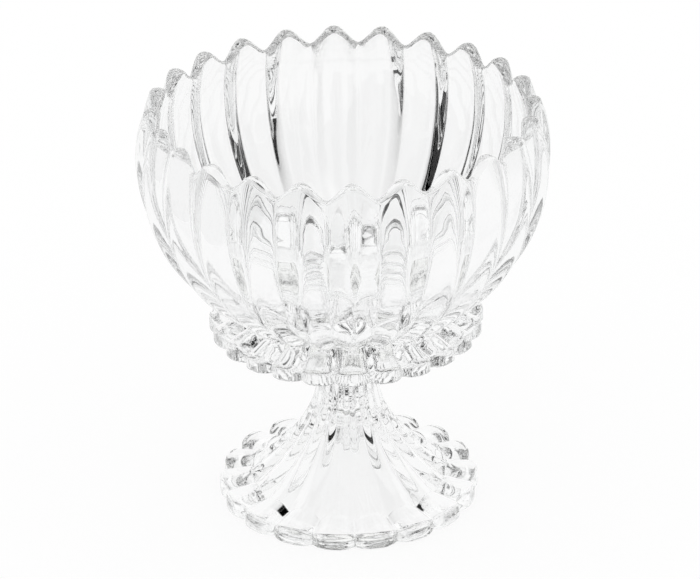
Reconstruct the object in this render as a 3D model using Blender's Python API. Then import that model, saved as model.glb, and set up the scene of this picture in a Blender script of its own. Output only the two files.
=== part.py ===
"""Footed bowl in clear pressed glass: a lobed open bowl bonded to a fluted pedestal.

Metres, +Z up, origin at the middle of the resting face, photographed front towards -Y.
The bowl and the pedestal are two pressings. Each is a loft through rings of points, and
each ring swings between a crest outline and a groove outline once for every lobe or rib.
"""

import math
from collections import namedtuple

import bmesh
import bpy

# Bowl pressing, heights above the underside of its blocks
LOBES = 24
BOWL_HEIGHT = 0.109
BELLY_RADIUS = 0.0917
BELLY_HEIGHT = 0.084
LOBE_DEPTH = 0.0054
LOBE_DEPTH_BASE = 0.0038
SCALLOP_DEPTH = 0.0088
SCALLOP_POWER = 0.85
SCALLOP_FADE = 6
RIM_ROUND = 0.0022
RIM_RIDGE = 0.5
RIM_WALL = 0.0075
BOWL_WALL = 0.0095
FLOOR_THICKNESS = 0.022
FLOOR_FLAT_RADIUS = 0.020
UNDERSIDE_RISE = 0.004
SEAT_MARGIN = 0.0015

# Wall ellipses, whose heights are these times the wall's height below and above the belly
LOWER_SWEEP = 1.186
UPPER_SWEEP = 3

# Row of blocks round the bowl's base
COLLAR_RADIUS = 0.0615
COLLAR_HEIGHT = 0.0115
COLLAR_END_HEIGHT = 0.0078
COLLAR_NOTCH = 0.0055
COLLAR_NOTCH_DROP = 0.0050

# Pedestal pressing, heights above the resting face
RIBS = 18
PEDESTAL_HEIGHT = 0.0875
STEM_TOP_RADIUS = 0.022
WAIST_RADIUS = 0.0135
WAIST_HEIGHT = 0.063
SKIRT_RADIUS = 0.044
SKIRT_HEIGHT = 0.0105
FLARE_POWER = 2.2
RIB_DEPTH_FOOT = 0.0038
RIB_DEPTH_WAIST = 0.0009
HOLLOW_HEIGHT = 0.042
HOLLOW_DOME = 0.007
DOME_ARC = 72
SKIRT_WALL = 0.0135

# Row of blocks round the foot
FOOT_RADIUS = 0.059
FOOT_BLOCK_HEIGHT = 0.0108
FOOT_END_HEIGHT = 0.0088
FOOT_NOTCH = 0.0045
FOOT_NOTCH_DROP = 0.0038

# Lobes and ribs: the rounding of their crests, as a share of half their width
CREST_ROUND = 0.22

# Blocks of both rows
BLOCK_EDGE = 0.0012
BLOCK_SHOULDER = 0.0022
BLOCK_CREASE = 0.0010
BLOCK_SQUARENESS = 3
NOTCH_DRAFT = 0.7

# Clear adhesive between the stem and the bowl
BOND_THICKNESS = 0.0003
BOND_MARGIN = 0.0015
BOND_CLEARANCE = 0.0002

# Clear materials
GLASS_COLOUR = (0.97, 0.98, 0.98)
GLASS_ROUGHNESS = 0.02
GLASS_INDEX = 1.52
ADHESIVE_COLOUR = (0.98, 0.98, 0.96)
ADHESIVE_ROUGHNESS = 0.05
ADHESIVE_INDEX = 1.50

# Fineness of the lofts, and the angle in degrees from which an edge is shaded sharp
STEPS_PER_LOBE = 6
BELLY_STEPS = 8
RIM_STEPS = 3
BOWL_STEPS = 6
FLARE_STEPS = 6
STEM_STEPS = 3
HOLLOW_STEPS = 5
DOME_STEPS = 2
BOND_STEPS = 72
SHARP_ANGLE = 35

SEAT_HEIGHT = PEDESTAL_HEIGHT + BOND_THICKNESS + 2 * BOND_CLEARANCE
BOWL_PLACE = SEAT_HEIGHT - UNDERSIDE_RISE
LOWER_REACH = LOWER_SWEEP * (BELLY_HEIGHT - COLLAR_HEIGHT)
UPPER_REACH = UPPER_SWEEP * (BOWL_HEIGHT - BELLY_HEIGHT)

# crest and groove are (radius, height) pairs. round_by and lift_by say how the radius and
# the height go from the groove, at -1 and 1 across a lobe, to the crest at 0.
Ring = namedtuple("Ring", "crest groove round_by lift_by")


def arched(across):
    """A lobe or rib: a round crest with flat flanks that meet their neighbours in sharp grooves."""
    drop = math.hypot(across, CREST_ROUND) - CREST_ROUND
    return 1 - drop / (math.hypot(1, CREST_ROUND) - CREST_ROUND)


def pillowed(across):
    """A block: nearly flat, with round corners down into the notches."""
    return 1 - abs(across) ** BLOCK_SQUARENESS


def scalloped(across):
    """The wave of the rim, a little sharper in its valleys than on its peaks."""
    return ((1 + math.cos(math.pi * across)) / 2) ** SCALLOP_POWER


def between(start, end, share):
    return start + (end - start) * share


def plain_ring(radius, height):
    return Ring((radius, height), (radius, height), arched, arched)


def ring_points(ring, count, crest_in_front):
    """The points of one ring, starting from a groove, anticlockwise seen from above."""
    points = []
    pitch = 2 * math.pi / count
    start = -math.pi / 2 - (pitch / 2 if crest_in_front else 0)
    for step in range(count * STEPS_PER_LOBE):
        across = 2 * (step % STEPS_PER_LOBE) / STEPS_PER_LOBE - 1
        angle = start + pitch * step / STEPS_PER_LOBE
        radius = between(ring.groove[0], ring.crest[0], ring.round_by(across))
        height = between(ring.groove[1], ring.crest[1], ring.lift_by(across))
        points.append((radius * math.cos(angle), radius * math.sin(angle), height))
    return points


def loft(name, rings, count, crest_in_front):
    """One closed body through the rings, flat at its first and last ring."""
    bm = bmesh.new()
    loops = [
        [bm.verts.new(point) for point in ring_points(ring, count, crest_in_front)]
        for ring in rings
    ]
    for lower, upper in zip(loops, loops[1:]):
        for here in range(len(lower)):
            there = (here + 1) % len(lower)
            bm.faces.new((lower[here], lower[there], upper[there], upper[here]))
    bm.faces.new(reversed(loops[0]))
    bm.faces.new(loops[-1])
    bmesh.ops.recalc_face_normals(bm, faces=bm.faces)
    return finished(name, bm)


def finished(name, bm):
    mesh = bpy.data.meshes.new(name)
    bm.to_mesh(mesh)
    bm.free()
    mesh.shade_smooth()
    mesh.set_sharp_from_angle(angle=math.radians(SHARP_ANGLE))
    obj = bpy.data.objects.new(name, mesh)
    bpy.context.scene.collection.objects.link(obj)
    return obj


def block_rings(outer, inner, end_height, height, notch, notch_drop):
    """Rings over a row of blocks: round the ends from the underside, then in over the tops."""
    turn = BLOCK_SHOULDER * math.sqrt(0.5)
    crests = [
        (outer - BLOCK_EDGE, 0),
        (outer, BLOCK_EDGE),
        (outer, end_height - BLOCK_SHOULDER),
        (outer - BLOCK_SHOULDER + turn, end_height - BLOCK_SHOULDER + turn),
        (outer - BLOCK_SHOULDER, end_height),
        (inner + BLOCK_CREASE, height),
        (inner, height - BLOCK_CREASE),
    ]
    rings = []
    for radius, level in crests:
        share = (radius - inner) / (outer - inner) * between(NOTCH_DRAFT, 1, level / height)
        groove = (radius - notch * share, level - notch_drop * level / height)
        rings.append(Ring((radius, level), groove, pillowed, pillowed))
    return rings


def belly_radius(height):
    """Crest radius of the bowl's outside, an ellipse below the belly and another above it."""
    rise = height - BELLY_HEIGHT
    reach = UPPER_REACH if rise > 0 else LOWER_REACH
    return BELLY_RADIUS * math.sqrt(1 - (rise / reach) ** 2)


def bowl_radius(height):
    """Radius of the smooth inside: an ellipse from the flat floor up, and a wall that thins above."""
    rise = height - BELLY_HEIGHT
    if rise > 0:
        thinning = rise / (BOWL_HEIGHT - BELLY_HEIGHT)
        return belly_radius(height) - between(BOWL_WALL, RIM_WALL, thinning)
    depth = BELLY_HEIGHT - FLOOR_THICKNESS
    swell = BELLY_RADIUS - BOWL_WALL - FLOOR_FLAT_RADIUS
    return FLOOR_FLAT_RADIUS + swell * math.sqrt(max(0, 1 - (rise / depth) ** 2))


def wall_ring(height):
    """A ring on the lobed outside, which follows the scallops more and more towards the rim."""
    share = (height - COLLAR_HEIGHT) / (BOWL_HEIGHT - COLLAR_HEIGHT)
    radius = belly_radius(height)
    narrowing = (BELLY_RADIUS - radius) / (BELLY_RADIUS - belly_radius(COLLAR_HEIGHT))
    below_belly = height < BELLY_HEIGHT
    depth = between(LOBE_DEPTH, LOBE_DEPTH_BASE, narrowing) if below_belly else LOBE_DEPTH
    groove_height = height - SCALLOP_DEPTH * share**SCALLOP_FADE
    groove = (belly_radius(groove_height) - depth, groove_height)
    return Ring((radius, height), groove, arched, scalloped)


def rim_rings():
    """Over the rim: its ridge within the wall, then the inner edge."""
    rings = []
    for inward, drop in ((RIM_RIDGE, 0), (1, RIM_ROUND)):
        crest_height = BOWL_HEIGHT - drop
        groove_height = crest_height - SCALLOP_DEPTH
        inside = bowl_radius(crest_height)
        outside = belly_radius(crest_height)
        crest = (between(outside, inside, inward), crest_height)
        inside = bowl_radius(groove_height)
        outside = belly_radius(groove_height) - LOBE_DEPTH
        groove = (between(outside, inside, inward), groove_height)
        rings.append(Ring(crest, groove, arched, scalloped))
    return rings


def make_bowl():
    rim_edge = BOWL_HEIGHT - RIM_ROUND
    rings = [plain_ring(STEM_TOP_RADIUS + SEAT_MARGIN, UNDERSIDE_RISE)]
    rings += block_rings(
        COLLAR_RADIUS,
        belly_radius(COLLAR_HEIGHT),
        COLLAR_END_HEIGHT,
        COLLAR_HEIGHT,
        COLLAR_NOTCH,
        COLLAR_NOTCH_DROP,
    )
    low = math.asin(1 / LOWER_SWEEP)
    for step in range(BELLY_STEPS):
        turn = low * (1 - step / BELLY_STEPS)
        rings.append(wall_ring(BELLY_HEIGHT - LOWER_REACH * math.sin(turn)))
    for step in range(RIM_STEPS + 1):
        rings.append(wall_ring(between(BELLY_HEIGHT, rim_edge, step / RIM_STEPS)))
    rings += rim_rings()
    depth = BELLY_HEIGHT - FLOOR_THICKNESS
    for step in range(BOWL_STEPS + 1):
        turn = math.pi / 2 * step / BOWL_STEPS
        height = BELLY_HEIGHT - depth * math.sin(turn)
        rings.append(plain_ring(bowl_radius(height), height))
    bowl = loft("bowl", rings, LOBES, crest_in_front=True)
    bowl.location.z = BOWL_PLACE
    return bowl


def flare_radius(height):
    """Crest radius of the pedestal: a trumpet below the waist and a smaller one above it."""
    if height < WAIST_HEIGHT:
        share = (WAIST_HEIGHT - height) / (WAIST_HEIGHT - SKIRT_HEIGHT)
        return between(WAIST_RADIUS, SKIRT_RADIUS, share**FLARE_POWER)
    share = (height - WAIST_HEIGHT) / (PEDESTAL_HEIGHT - WAIST_HEIGHT)
    return between(WAIST_RADIUS, STEM_TOP_RADIUS, share**FLARE_POWER)


def rib_ring(height):
    radius = flare_radius(height)
    share = (radius - WAIST_RADIUS) / (SKIRT_RADIUS - WAIST_RADIUS)
    depth = between(RIB_DEPTH_WAIST, RIB_DEPTH_FOOT, share)
    return Ring((radius, height), (radius - depth, height), arched, arched)


def hollow_rings():
    """The smooth hollow of the underside, from its mouth up to a small dome."""
    rings = []
    dome_base = HOLLOW_HEIGHT - HOLLOW_DOME
    for step in range(HOLLOW_STEPS + 1):
        height = dome_base * step / HOLLOW_STEPS
        rings.append(plain_ring(flare_radius(height) - SKIRT_WALL, height))
    dome_radius = flare_radius(dome_base) - SKIRT_WALL
    for step in range(1, DOME_STEPS + 1):
        turn = math.radians(DOME_ARC) * step / DOME_STEPS
        height = dome_base + HOLLOW_DOME * math.sin(turn)
        rings.append(plain_ring(dome_radius * math.cos(turn), height))
    return rings


def make_pedestal():
    rings = list(reversed(hollow_rings()))
    rings += block_rings(
        FOOT_RADIUS,
        SKIRT_RADIUS,
        FOOT_END_HEIGHT,
        FOOT_BLOCK_HEIGHT,
        FOOT_NOTCH,
        FOOT_NOTCH_DROP,
    )
    for step in range(FLARE_STEPS):
        rings.append(rib_ring(between(SKIRT_HEIGHT, WAIST_HEIGHT, step / FLARE_STEPS)))
    for step in range(STEM_STEPS + 1):
        rings.append(rib_ring(between(WAIST_HEIGHT, PEDESTAL_HEIGHT, step / STEM_STEPS)))
    return loft("pedestal", rings, RIBS, crest_in_front=False)


def make_bond():
    """The adhesive film, a thin disc that stays just inside the stem's grooves."""
    bm = bmesh.new()
    bmesh.ops.create_cone(
        bm,
        cap_ends=True,
        segments=BOND_STEPS,
        radius1=STEM_TOP_RADIUS - BOND_MARGIN,
        radius2=STEM_TOP_RADIUS - BOND_MARGIN,
        depth=BOND_THICKNESS,
    )
    bond = finished("bond_film", bm)
    bond.location.z = PEDESTAL_HEIGHT + BOND_CLEARANCE + BOND_THICKNESS / 2
    return bond


def clear_material(name, colour, roughness, index):
    material = bpy.data.materials.new(name)
    material.use_nodes = True
    shader = material.node_tree.nodes["Principled BSDF"]
    shader.inputs["Base Color"].default_value = (*colour, 1)
    shader.inputs["Roughness"].default_value = roughness
    shader.inputs["Metallic"].default_value = 0
    shader.inputs["IOR"].default_value = index
    shader.inputs["Transmission Weight"].default_value = 1
    return material


def main():
    for obj in list(bpy.data.objects):
        bpy.data.objects.remove(obj)
    bowl = make_bowl()
    pedestal = make_pedestal()
    bond = make_bond()
    clear_glass = (GLASS_COLOUR, GLASS_ROUGHNESS, GLASS_INDEX)
    clear_adhesive = (ADHESIVE_COLOUR, ADHESIVE_ROUGHNESS, ADHESIVE_INDEX)
    bowl.data.materials.append(clear_material("bowl_glass", *clear_glass))
    pedestal.data.materials.append(clear_material("pedestal_glass", *clear_glass))
    bond.data.materials.append(clear_material("clear_adhesive", *clear_adhesive))


main()
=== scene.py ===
"""Looks of the footed bowl: clear pressed glass, its bond, a white studio and the camera."""

import math
from collections import namedtuple

import bpy
from mathutils import Matrix, Vector


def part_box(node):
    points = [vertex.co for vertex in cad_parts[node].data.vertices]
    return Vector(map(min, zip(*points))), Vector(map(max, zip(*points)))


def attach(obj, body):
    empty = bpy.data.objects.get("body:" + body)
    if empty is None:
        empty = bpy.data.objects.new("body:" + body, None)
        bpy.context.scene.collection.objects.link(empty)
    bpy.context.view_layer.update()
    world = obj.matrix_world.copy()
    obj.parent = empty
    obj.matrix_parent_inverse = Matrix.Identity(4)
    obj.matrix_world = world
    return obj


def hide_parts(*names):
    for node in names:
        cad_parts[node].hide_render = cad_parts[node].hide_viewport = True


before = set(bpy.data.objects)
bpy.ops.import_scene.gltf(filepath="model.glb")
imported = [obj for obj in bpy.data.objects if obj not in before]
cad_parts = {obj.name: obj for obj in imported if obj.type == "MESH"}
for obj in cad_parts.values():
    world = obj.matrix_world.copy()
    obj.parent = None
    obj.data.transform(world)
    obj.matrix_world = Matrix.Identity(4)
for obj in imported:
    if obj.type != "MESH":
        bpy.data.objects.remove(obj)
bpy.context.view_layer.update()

# Bowl pressing, heights above the underside of its blocks
LOBES = 24
BOWL_HEIGHT = 0.109
BELLY_RADIUS = 0.0917
BELLY_HEIGHT = 0.084
BELLY_DROP = 0.086
SHOULDER_RISE = 0.075
LOBE_DEPTH = 0.0054
LOBE_DEPTH_BASE = 0.0038
SCALLOP_DEPTH = 0.0088
SCALLOP_POWER = 0.85
SCALLOP_FADE = 6
RIM_ROUND = 0.0022
RIM_WALL = 0.0075
BOWL_WALL = 0.0095
FLOOR_THICKNESS = 0.022
FLOOR_FLAT_RADIUS = 0.020
UNDERSIDE_RISE = 0.004
SEAT_MARGIN = 0.0015
COLLAR_RADIUS = 0.0615
COLLAR_HEIGHT = 0.0115
COLLAR_END_HEIGHT = 0.0078
COLLAR_NOTCH = 0.0055
COLLAR_NOTCH_DROP = 0.0050

# Pedestal pressing, heights above the resting face
RIBS = 18
STEM_TOP_RADIUS = 0.022
WAIST_RADIUS = 0.0135
WAIST_HEIGHT = 0.063
SKIRT_RADIUS = 0.044
SKIRT_HEIGHT = 0.0105
FLARE_POWER = 2.2
RIB_DEPTH_FOOT = 0.0038
RIB_DEPTH_WAIST = 0.0009
HOLLOW_HEIGHT = 0.042
HOLLOW_DOME = 0.007
SKIRT_WALL = 0.0135
FOOT_RADIUS = 0.059
FOOT_BLOCK_HEIGHT = 0.0108
FOOT_END_HEIGHT = 0.0088
FOOT_NOTCH = 0.0045
FOOT_NOTCH_DROP = 0.0038

# Lobes and ribs: the rounding of their crests and grooves, as shares of half their width
CREST_ROUND = 0.22
GROOVE_ROUND = 0.05

# Blocks of both rows
BLOCK_EDGE = 0.0012
BLOCK_SHOULDER = 0.0022
BLOCK_CREASE = 0.0010
BLOCK_SQUARENESS = 3
NOTCH_DRAFT = 0.7

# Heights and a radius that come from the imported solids
PEDESTAL_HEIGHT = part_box("pedestal")[1][2]
BOWL_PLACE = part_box("bowl")[0][2]
BOND_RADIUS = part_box("bond_film")[1][0]

# How far the bond reaches into the glass above and below it, so that no air is left between
BOND_WETTING = 0.00004

# How finely each piece is lofted, and the angle in degrees from which an edge is shaded sharp
SHARP_ANGLE = 35
STEPS_PER_LOBE = 30
WALL_STEPS = 44
RIM_STEPS = 8
INSIDE_STEPS = 40
ARC_STEPS = 6
TOP_STEPS = 8
FLARE_STEPS = 48
HOLLOW_STEPS = 30
DOME_STEPS = 8

# Camera fitted to the photograph, in metres, degrees and pixels of the 700 by 579 frame
IMAGE_WIDTH = 700
CAMERA_DISTANCE = 1.900
CAMERA_AZIMUTH = -2.4
CAMERA_ELEVATION = 27.11
CAMERA_ROLL = -0.958
CAMERA_TARGET_RIGHT = 0.0019
CAMERA_TARGET_HEIGHT = 0.1011
FOCAL_PIXELS = 4244.2
SENSOR_WIDTH = 36

# Studio: a white sheet that ends in front of the object, in a white tent with an open front.
# SHEET_SHADED is the share of the sheet's white that takes the object's shadow.
# Each dark zone has an azimuth, an elevation, a reach and a softness in degrees, and a depth.
SHEET_REACH = 6
SHEET_FRONT = 0.28
SHEET_TURN = -15
SHEET_CLEARANCE = 0.0002
SHEET_SHADED = 0.1
SHEET_BRIGHTNESS = 0.96
TENT_BRIGHTNESS = 1.0
DARK_ZONES = ((-45, 19, 60, 10, 1.0), (66, 31, 40, 16, 0.97))
LIGHT_BOUNCES = 48

# Clear materials: the tint that they drift to from white, the index of refraction, and the
# range of roughness
Clear = namedtuple("Clear", "tint index roughness")
GLASS = Clear(tint=(0.985, 0.99, 0.99), index=1.52, roughness=(0, 0.01))
ADHESIVE = Clear(tint=(0.98, 0.98, 0.96), index=1.5, roughness=(0.02, 0.06))

# Drift of tint and polish over the surface: features per metre and octaves of detail
TINT_DRIFT = (18, 2)
POLISH_DRIFT = (140, 3)

# Waviness of the fire-polished surface: features per metre and depth in metres of each layer of
# ripples, and how many times longer they are upwards than across
RIPPLES = ((90, 0.0002), (200, 0.00003))
RIPPLE_LENGTH = 4

# crest and groove are (radius, height) pairs. round_by and lift_by say how the radius and
# the height go from the groove, at -1 and 1 across a lobe, to the crest at 0.
Ring = namedtuple("Ring", "crest groove round_by lift_by")


def from_groove(across):
    """Distance from the groove, 0 to 1, with the groove's bottom rounded off."""
    away = math.hypot(1 - abs(across), GROOVE_ROUND) - GROOVE_ROUND
    return away / (math.hypot(1, GROOVE_ROUND) - GROOVE_ROUND)


def arched(across):
    """A lobe or rib: a round crest, and flat flanks that meet their neighbours in grooves."""
    drop = math.hypot(1 - from_groove(across), CREST_ROUND) - CREST_ROUND
    return 1 - drop / (math.hypot(1, CREST_ROUND) - CREST_ROUND)


def pillowed(across):
    """A block: nearly flat, with round corners down into the notches."""
    return 1 - (1 - from_groove(across)) ** BLOCK_SQUARENESS


def scalloped(across):
    """The wave of the rim, a little sharper in its valleys than on its peaks."""
    return ((1 + math.cos(math.pi * across)) / 2) ** SCALLOP_POWER


def between(start, end, share):
    """The number that lies this share of the way from start to end."""
    return start + (end - start) * share


def plain_ring(radius, height):
    """A round ring, with no difference between crest and groove."""
    return Ring((radius, height), (radius, height), arched, arched)


def ring_points(ring, count, crest_in_front, lift):
    """The points of one ring, anticlockwise seen from above and closest together in the grooves."""
    points = []
    pitch = 2 * math.pi / count
    front = -math.pi / 2 + (0 if crest_in_front else pitch / 2)
    for lobe in range(count):
        for step in range(STEPS_PER_LOBE):
            across = math.sin(math.pi * (step / STEPS_PER_LOBE - 0.5))
            angle = front + pitch * (lobe + across / 2)
            radius = between(ring.groove[0], ring.crest[0], ring.round_by(across))
            height = between(ring.groove[1], ring.crest[1], ring.lift_by(across))
            points.append((radius * math.cos(angle), radius * math.sin(angle), height + lift))
    return points


def loft(name, rings, count, crest_in_front, lift=0):
    """One closed smooth body through the rings, with a point at the middle of each end."""
    points = []
    for ring in rings:
        points += ring_points(ring, count, crest_in_front, lift)
    around = count * STEPS_PER_LOBE
    faces = []
    for level in range(len(rings) - 1):
        low = level * around
        for here in range(around):
            there = (here + 1) % around
            faces.append((low + here, low + there, low + around + there, low + around + here))
    first, last = len(points), len(points) + 1
    points.append((0, 0, rings[0].crest[1] + lift))
    points.append((0, 0, rings[-1].crest[1] + lift))
    top = (len(rings) - 1) * around
    for here in range(around):
        there = (here + 1) % around
        faces.append((first, there, here))
        faces.append((last, top + here, top + there))
    mesh = bpy.data.meshes.new(name)
    mesh.from_pydata(points, [], faces)
    mesh.shade_smooth()
    mesh.set_sharp_from_angle(angle=math.radians(SHARP_ANGLE))
    piece = bpy.data.objects.new(name, mesh)
    bpy.context.scene.collection.objects.link(piece)
    return piece


def block_rings(outer, inner, end_height, height, notch, notch_drop):
    """Rings over a row of blocks: round the ends from the underside, then in over the tops."""
    crests = []
    for step in range(ARC_STEPS + 1):
        turn = math.pi / 2 * step / ARC_STEPS
        out = outer - BLOCK_EDGE * (1 - math.sin(turn))
        crests.append((out, BLOCK_EDGE * (1 - math.cos(turn))))
    shoulder = end_height - BLOCK_SHOULDER
    crests.append((outer, between(BLOCK_EDGE, shoulder, 0.5)))
    for step in range(ARC_STEPS + 1):
        turn = math.pi / 2 * step / ARC_STEPS
        out = outer - BLOCK_SHOULDER * (1 - math.cos(turn))
        crests.append((out, shoulder + BLOCK_SHOULDER * math.sin(turn)))
    for step in range(1, TOP_STEPS + 1):
        share = step / TOP_STEPS
        out = between(outer - BLOCK_SHOULDER, inner + BLOCK_CREASE, share)
        crests.append((out, between(end_height, height, share)))
    for step in range(1, ARC_STEPS + 1):
        turn = math.pi / 2 * step / ARC_STEPS
        out = inner + BLOCK_CREASE * (1 - math.sin(turn))
        crests.append((out, height - BLOCK_CREASE * (1 - math.cos(turn))))
    rings = []
    for radius, level in crests:
        share = (radius - inner) / (outer - inner) * between(NOTCH_DRAFT, 1, level / height)
        groove = (radius - notch * share, level - notch_drop * level / height)
        rings.append(Ring((radius, level), groove, pillowed, pillowed))
    return rings


def belly_radius(height):
    """Crest radius of the bowl's outside, an ellipse below the belly and another above it."""
    rise = height - BELLY_HEIGHT
    reach = SHOULDER_RISE if rise > 0 else BELLY_DROP
    return BELLY_RADIUS * math.sqrt(1 - (rise / reach) ** 2)


def bowl_radius(height):
    """Radius of the smooth inside: an ellipse up from the flat floor, then a thinning wall."""
    rise = height - BELLY_HEIGHT
    if rise > 0:
        thinning = rise / (BOWL_HEIGHT - BELLY_HEIGHT)
        return belly_radius(height) - between(BOWL_WALL, RIM_WALL, thinning)
    depth = BELLY_HEIGHT - FLOOR_THICKNESS
    swell = BELLY_RADIUS - BOWL_WALL - FLOOR_FLAT_RADIUS
    return FLOOR_FLAT_RADIUS + swell * math.sqrt(max(0, 1 - (rise / depth) ** 2))


def scallop_drop(height):
    """How far a groove point lies below its crest point, growing towards the rim."""
    share = (height - COLLAR_HEIGHT) / (BOWL_HEIGHT - COLLAR_HEIGHT)
    return SCALLOP_DEPTH * share**SCALLOP_FADE


def lobe_depth(height):
    """Depth of the grooves, full at the belly and less towards the blocks."""
    if height > BELLY_HEIGHT:
        return LOBE_DEPTH
    narrowest = belly_radius(COLLAR_HEIGHT)
    narrowing = (BELLY_RADIUS - belly_radius(height)) / (BELLY_RADIUS - narrowest)
    return between(LOBE_DEPTH, LOBE_DEPTH_BASE, narrowing)


def outside_ring(height):
    groove_height = height - scallop_drop(height)
    groove = (belly_radius(groove_height) - lobe_depth(height), groove_height)
    return Ring((belly_radius(height), height), groove, arched, scalloped)


def inside_ring(height):
    groove_height = height - scallop_drop(height)
    groove = (bowl_radius(groove_height), groove_height)
    return Ring((bowl_radius(height), height), groove, arched, scalloped)


def rim_rings():
    """Round over the rim, from the outside to the inside."""
    edge = BOWL_HEIGHT - RIM_ROUND
    outside, inside = outside_ring(edge), inside_ring(edge)
    rings = []
    for step in range(1, RIM_STEPS):
        turn = math.pi * step / RIM_STEPS
        inward = (1 - math.cos(turn)) / 2
        rise = RIM_ROUND * math.sin(turn)
        ends = []
        for out, within in ((outside.crest, inside.crest), (outside.groove, inside.groove)):
            ends.append((between(out[0], within[0], inward), out[1] + rise))
        rings.append(Ring(*ends, arched, scalloped))
    return rings


def make_bowl():
    """The bowl: its dished underside, the blocks, the lobed wall, the rim and the inside."""
    rings = [plain_ring(STEM_TOP_RADIUS + SEAT_MARGIN, UNDERSIDE_RISE)]
    rings += block_rings(
        COLLAR_RADIUS,
        belly_radius(COLLAR_HEIGHT),
        COLLAR_END_HEIGHT,
        COLLAR_HEIGHT,
        COLLAR_NOTCH,
        COLLAR_NOTCH_DROP,
    )
    edge = BOWL_HEIGHT - RIM_ROUND
    low = math.asin((BELLY_HEIGHT - COLLAR_HEIGHT) / BELLY_DROP)
    high = math.asin((edge - BELLY_HEIGHT) / SHOULDER_RISE)
    for step in range(WALL_STEPS + 1):
        turn = between(-low, high, step / WALL_STEPS)
        reach = SHOULDER_RISE if turn > 0 else BELLY_DROP
        rings.append(outside_ring(BELLY_HEIGHT + reach * math.sin(turn)))
    rings += rim_rings()
    depth = BELLY_HEIGHT - FLOOR_THICKNESS
    for step in range(INSIDE_STEPS + 1):
        turn = between(high, -math.pi / 2, step / INSIDE_STEPS)
        reach = SHOULDER_RISE if turn > 0 else depth
        rings.append(inside_ring(BELLY_HEIGHT + reach * math.sin(turn)))
    return loft("glass_bowl", rings, LOBES, crest_in_front=True, lift=BOWL_PLACE)


def flare_radius(height):
    """Crest radius of the pedestal: a trumpet below the waist and a smaller one above it."""
    if height < WAIST_HEIGHT:
        share = (WAIST_HEIGHT - height) / (WAIST_HEIGHT - SKIRT_HEIGHT)
        return between(WAIST_RADIUS, SKIRT_RADIUS, share**FLARE_POWER)
    share = (height - WAIST_HEIGHT) / (PEDESTAL_HEIGHT - WAIST_HEIGHT)
    return between(WAIST_RADIUS, STEM_TOP_RADIUS, share**FLARE_POWER)


def rib_ring(height):
    radius = flare_radius(height)
    share = (radius - WAIST_RADIUS) / (SKIRT_RADIUS - WAIST_RADIUS)
    depth = between(RIB_DEPTH_WAIST, RIB_DEPTH_FOOT, share)
    return Ring((radius, height), (radius - depth, height), arched, arched)


def hollow_rings():
    """The smooth hollow of the underside, from its mouth up to a small dome."""
    rings = []
    dome_base = HOLLOW_HEIGHT - HOLLOW_DOME
    for step in range(HOLLOW_STEPS + 1):
        height = dome_base * step / HOLLOW_STEPS
        rings.append(plain_ring(flare_radius(height) - SKIRT_WALL, height))
    dome_radius = flare_radius(dome_base) - SKIRT_WALL
    for step in range(1, DOME_STEPS):
        turn = math.pi / 2 * step / DOME_STEPS
        height = dome_base + HOLLOW_DOME * math.sin(turn)
        rings.append(plain_ring(dome_radius * math.cos(turn), height))
    return rings


def make_pedestal():
    """The pedestal: its hollow from the dome down, the blocks, and the ribs up the stem."""
    rings = list(reversed(hollow_rings()))
    rings += block_rings(
        FOOT_RADIUS,
        SKIRT_RADIUS,
        FOOT_END_HEIGHT,
        FOOT_BLOCK_HEIGHT,
        FOOT_NOTCH,
        FOOT_NOTCH_DROP,
    )
    for step in range(FLARE_STEPS + 1):
        rings.append(rib_ring(between(SKIRT_HEIGHT, PEDESTAL_HEIGHT, step / FLARE_STEPS)))
    return loft("glass_pedestal", rings, RIBS, crest_in_front=False)


def make_bond():
    """The adhesive film, wetting both glass faces, with a round meniscus at its edge."""
    low = PEDESTAL_HEIGHT - BOND_WETTING
    high = BOWL_PLACE + UNDERSIDE_RISE + BOND_WETTING
    middle, half = (low + high) / 2, (high - low) / 2
    rings = []
    for step in range(ARC_STEPS + 1):
        turn = math.pi * (step / ARC_STEPS - 0.5)
        radius = BOND_RADIUS - half * (1 - math.cos(turn))
        rings.append(plain_ring(radius, middle + half * math.sin(turn)))
    return loft("clear_bond", rings, RIBS, crest_in_front=False)


def add_node(tree, kind, **values):
    """A new shader node, with these values of its inputs or its own settings."""
    node = tree.nodes.new(kind)
    for name, value in values.items():
        if name in node.inputs:
            node.inputs[name].default_value = value
        else:
            setattr(node, name, value)
    return node


def noise(tree, coordinates, scale, detail):
    node = add_node(tree, "ShaderNodeTexNoise", Scale=scale, Detail=detail)
    tree.links.new(coordinates, node.inputs["Vector"])
    return node.outputs["Fac"]


def ranged(tree, value, low, high):
    """Maps a 0 to 1 texture to a range of numbers."""
    node = add_node(tree, "ShaderNodeMapRange")
    node.inputs["To Min"].default_value = low
    node.inputs["To Max"].default_value = high
    tree.links.new(value, node.inputs["Value"])
    return node.outputs["Result"]


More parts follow.
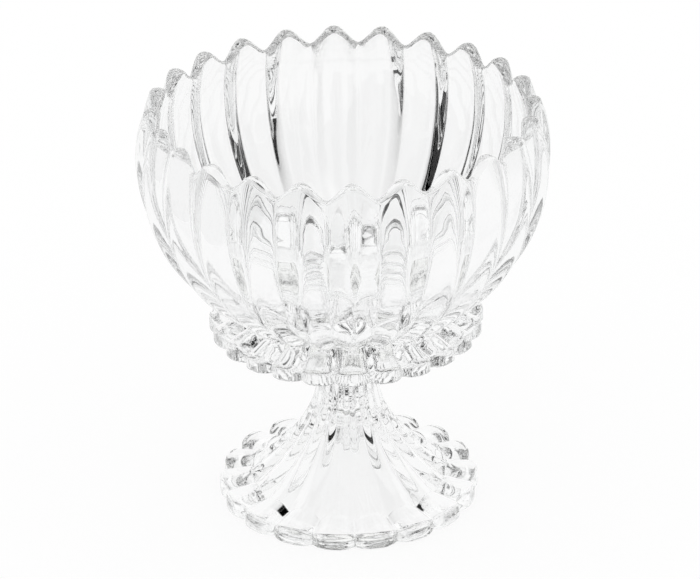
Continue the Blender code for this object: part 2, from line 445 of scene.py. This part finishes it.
def clear_material(name, clear):
    """Clear glass or adhesive, with a faint drift of tint and polish and a rippled surface."""
    material = bpy.data.materials.new(name)
    material.use_nodes = True
    tree = material.node_tree
    shader = tree.nodes["Principled BSDF"]
    shader.inputs["Transmission Weight"].default_value = 1
    shader.inputs["IOR"].default_value = clear.index
    place = add_node(tree, "ShaderNodeTexCoord").outputs["Object"]
    drift = noise(tree, place, *TINT_DRIFT)
    ramp = add_node(tree, "ShaderNodeValToRGB")
    ramp.color_ramp.elements[0].color = (*clear.tint, 1)
    ramp.color_ramp.elements[1].color = (1, 1, 1, 1)
    tree.links.new(drift, ramp.inputs["Fac"])
    tree.links.new(ramp.outputs["Color"], shader.inputs["Base Color"])
    polish = ranged(tree, noise(tree, place, *POLISH_DRIFT), *clear.roughness)
    tree.links.new(polish, shader.inputs["Roughness"])
    drawn = add_node(tree, "ShaderNodeVectorMath", operation="MULTIPLY")
    tree.links.new(place, drawn.inputs[0])
    drawn.inputs[1].default_value = (1, 1, 1 / RIPPLE_LENGTH)
    normal = shader.inputs["Normal"]
    for scale, depth in RIPPLES:
        bump = add_node(tree, "ShaderNodeBump", Strength=1, Distance=depth)
        tree.links.new(noise(tree, drawn.outputs[0], scale, 0), bump.inputs["Height"])
        tree.links.new(bump.outputs["Normal"], normal)
        normal = bump.inputs["Normal"]
    return material


def dress(piece, node, slot, clear):
    """Gives a piece its material, named after its slot, puts it on its body and hides the solid
    that it stands for.
    """
    piece.data.materials.append(clear_material(slot, clear))
    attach(piece, "root")
    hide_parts(node)


def ray_is(tree, *kinds):
    """1 for a ray of any of these kinds, else 0."""
    path = add_node(tree, "ShaderNodeLightPath")
    total = path.outputs[kinds[0]]
    for kind in kinds[1:]:
        either = add_node(tree, "ShaderNodeMath", operation="MAXIMUM")
        tree.links.new(total, either.inputs[0])
        tree.links.new(path.outputs[kind], either.inputs[1])
        total = either.outputs[0]
    return total


def make_floor():
    """A white sheet: the camera sees a soft shadow on it, and the glass shows it plain white."""
    front, back, side = -SHEET_FRONT, SHEET_REACH, SHEET_REACH
    corners = [(-side, front, 0), (side, front, 0), (side, back, 0), (-side, back, 0)]
    mesh = bpy.data.meshes.new("floor")
    mesh.from_pydata(corners, [], [(0, 1, 2, 3)])
    floor = bpy.data.objects.new("floor", mesh)
    bpy.context.scene.collection.objects.link(floor)
    floor.location.z = -SHEET_CLEARANCE
    floor.rotation_euler.z = math.radians(SHEET_TURN)
    material = bpy.data.materials.new("white_sheet")
    material.use_nodes = True
    tree = material.node_tree
    tree.nodes.clear()
    paper = add_node(tree, "ShaderNodeBsdfDiffuse")
    paper.inputs["Color"].default_value = (SHEET_SHADED, SHEET_SHADED, SHEET_SHADED, 1)
    glow = add_node(tree, "ShaderNodeEmission")
    seen = ranged(tree, ray_is(tree, "Is Camera Ray"), 0, 1 - SHEET_SHADED)
    tree.links.new(seen, glow.inputs["Strength"])
    shaded = add_node(tree, "ShaderNodeAddShader")
    tree.links.new(paper.outputs[0], shaded.inputs[0])
    tree.links.new(glow.outputs[0], shaded.inputs[1])
    white = add_node(tree, "ShaderNodeEmission", Strength=SHEET_BRIGHTNESS)
    either = add_node(tree, "ShaderNodeMixShader")
    tree.links.new(ray_is(tree, "Is Glossy Ray", "Is Transmission Ray"), either.inputs["Fac"])
    tree.links.new(shaded.outputs[0], either.inputs[1])
    tree.links.new(white.outputs[0], either.inputs[2])
    out = add_node(tree, "ShaderNodeOutputMaterial")
    tree.links.new(either.outputs[0], out.inputs["Surface"])
    mesh.materials.append(material)


def direction(azimuth, elevation):
    """Unit vector at these angles in degrees, from the front, at -Y, towards +X and up."""
    turn, tilt = math.radians(azimuth), math.radians(elevation)
    level = math.cos(tilt)
    return Vector((math.sin(turn) * level, -math.cos(turn) * level, math.sin(tilt)))


def lightness(tree, zone):
    """1 outside a dark zone of the tent, down to 1 less the zone's depth inside it."""
    azimuth, elevation, reach, softness, depth = zone
    facing = add_node(tree, "ShaderNodeVectorMath", operation="DOT_PRODUCT")
    tree.links.new(add_node(tree, "ShaderNodeTexCoord").outputs["Generated"], facing.inputs[0])
    facing.inputs[1].default_value = direction(azimuth, elevation)
    node = add_node(tree, "ShaderNodeMapRange", interpolation_type="SMOOTHSTEP")
    node.inputs["From Min"].default_value = math.cos(math.radians(reach + softness / 2))
    node.inputs["From Max"].default_value = math.cos(math.radians(reach - softness / 2))
    node.inputs["To Min"].default_value = 1
    node.inputs["To Max"].default_value = 1 - depth
    tree.links.new(facing.outputs["Value"], node.inputs["Value"])
    return node.outputs["Result"]


def make_world():
    """A white tent for the camera and the light, whose dark zones show only in the glass."""
    world = bpy.data.worlds.new("studio")
    bpy.context.scene.world = world
    world.use_nodes = True
    tree = world.node_tree
    background = tree.nodes["Background"]
    background.inputs["Color"].default_value = (1, 1, 1, 1)
    tent = add_node(tree, "ShaderNodeValue").outputs[0]
    tent.default_value = TENT_BRIGHTNESS
    for zone in DARK_ZONES:
        darker = add_node(tree, "ShaderNodeMath", operation="MULTIPLY")
        tree.links.new(tent, darker.inputs[0])
        tree.links.new(lightness(tree, zone), darker.inputs[1])
        tent = darker.outputs[0]
    either = add_node(tree, "ShaderNodeMix", A=1)
    tree.links.new(ray_is(tree, "Is Glossy Ray", "Is Transmission Ray"), either.inputs["Factor"])
    tree.links.new(tent, either.inputs["B"])
    tree.links.new(either.outputs[0], background.inputs["Strength"])


def make_camera():
    """The camera of the photograph, turned about its own axis by its roll."""
    back = direction(CAMERA_AZIMUTH, CAMERA_ELEVATION)
    right = direction(CAMERA_AZIMUTH + 90, 0)
    up = back.cross(right)
    target = right * CAMERA_TARGET_RIGHT + Vector((0, 0, CAMERA_TARGET_HEIGHT))
    roll = math.radians(CAMERA_ROLL)
    across = right * math.cos(roll) + up * math.sin(roll)
    above = up * math.cos(roll) - right * math.sin(roll)
    data = bpy.data.cameras.new("camera")
    data.sensor_width = SENSOR_WIDTH
    data.lens = FOCAL_PIXELS / IMAGE_WIDTH * SENSOR_WIDTH
    camera = bpy.data.objects.new("camera", data)
    bpy.context.scene.collection.objects.link(camera)
    turned = Matrix((across, above, back)).transposed().to_4x4()
    camera.matrix_world = Matrix.Translation(target + back * CAMERA_DISTANCE) @ turned
    bpy.context.scene.camera = camera


make_camera()
dress(make_bowl(), "bowl", "bowl_glass", GLASS)
dress(make_pedestal(), "pedestal", "pedestal_glass", GLASS)
dress(make_bond(), "bond_film", "clear_adhesive", ADHESIVE)
make_floor()
make_world()
bpy.context.scene.view_settings.view_transform = "Standard"
cycles = bpy.context.scene.cycles
cycles.max_bounces = cycles.glossy_bounces = cycles.transmission_bounces = LIGHT_BOUNCES
